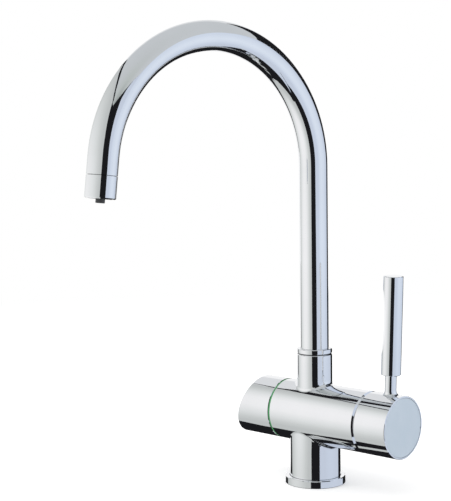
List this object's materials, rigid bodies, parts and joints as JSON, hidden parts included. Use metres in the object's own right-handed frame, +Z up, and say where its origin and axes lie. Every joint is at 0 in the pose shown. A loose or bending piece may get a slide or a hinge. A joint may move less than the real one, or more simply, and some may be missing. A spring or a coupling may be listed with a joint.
{
  "type": "drinking water filter tap",
  "caption": "Chrome three-way kitchen mixer tap with a swan-neck spout, a side lever and a quarter-turn knob for filtered water.",
  "frame": {"origin": "centre of the fixing stud hole in the foot's underside, on the worktop", "axes": "+Z up along the column, +X towards the mixer lever, -X towards the filter knob, -Y towards the spout's outlet"},
  "size_m": [0.1515, 0.2269, 0.3528],
  "materials": {
    "body_chrome": "polished plating",
    "trim_chrome": "polished plating",
    "spout_chrome": "polished plating",
    "end_disc": "satin, pale blue-grey",
    "marker_green": "glossy dark green",
    "rubber_black": "matt",
    "disc_ceramic": "lapped",
    "cartridge_plastic": "moulded",
    "ring_black": "moulded, black",
    "outlet_plastic": "moulded, dark grey",
    "plain_brass": "machined",
    "plain_steel": "machined",
    "hose_white": "extruded"
  },
  "bodies": {
    "body": {"body_column": "body_chrome", "body_barrel": "body_chrome", "body_neck": "body_chrome", "base_flange": "body_chrome", "base_gasket": "rubber_black", "filter_marker_ring": "marker_green", "filter_valve_body": "plain_brass", "filter_valve_seal": "rubber_black", "filter_fixed_disc": "disc_ceramic", "cartridge_port_plate": "cartridge_plastic", "cartridge_port_seals": "rubber_black", "cartridge_fixed_disc": "disc_ceramic", "cartridge_housing": "cartridge_plastic", "cartridge_nut": "plain_brass", "cartridge_dome": "trim_chrome", "spout_stop_screw": "plain_steel", "filter_hose_adapter": "plain_brass", "filter_adapter_seal": "rubber_black"},
    "mixer_turn": {"cartridge_turret": "cartridge_plastic", "cartridge_pivot_pin": "plain_steel"},
    "mixer_lever": {"mixer_hub": "trim_chrome", "hub_end_cap": "end_disc", "hub_grub_screw": "plain_steel", "lever_handle": "trim_chrome", "cartridge_stem": "plain_brass"},
    "mixer_disc": {"cartridge_moving_disc": "disc_ceramic", "cartridge_disc_carrier": "cartridge_plastic"},
    "filter_control": {"filter_knob": "trim_chrome", "filter_knob_insert": "cartridge_plastic", "filter_knob_screw": "plain_steel", "filter_spindle": "plain_brass", "filter_spindle_seal": "rubber_black", "filter_spindle_circlip": "plain_steel", "filter_moving_disc": "disc_ceramic"},
    "spout": {"spout_tube": "spout_chrome", "spout_collar": "trim_chrome", "spout_slide_ring": "ring_black", "spout_ferrule": "plain_brass", "spout_seals": "rubber_black", "nozzle_sleeve": "spout_chrome", "aerator_cartridge": "outlet_plastic", "aerator_washer": "rubber_black", "filter_outlet_tip": "outlet_plastic", "filter_hose": "hose_white"}
  },
  "joints": [
    {"name": "spout_swivel", "type": "hinge", "parent": "body", "child": "spout", "pos_m": [0, 0, 0.1018], "axis": [0, 0, 1], "continuous": true},
    {"name": "temperature_turn", "type": "hinge", "parent": "body", "child": "mixer_turn", "pos_m": [0.0492, 0, 0.0546], "axis": [1, 0, 0], "range_deg": [-45, 45]},
    {"name": "flow_tilt", "type": "hinge", "parent": "mixer_turn", "child": "mixer_lever", "pos_m": [0.0492, 0, 0.0546], "axis": [0, 1, 0], "range_deg": [0, 20]},
    {"name": "disc_slide", "type": "slide", "parent": "mixer_turn", "child": "mixer_disc", "axis": [0, 0, 1], "range_m": [0, 0.006]},
    {"name": "filter_turn", "type": "hinge", "parent": "body", "child": "filter_control", "pos_m": [-0.03, 0, 0.0546], "axis": [1, 0, 0], "range_deg": [0, 90]}
  ],
  "couplings": [
    {"joint": "disc_slide", "follows": "flow_tilt", "m_per_rad": 0.01718}
  ]
}
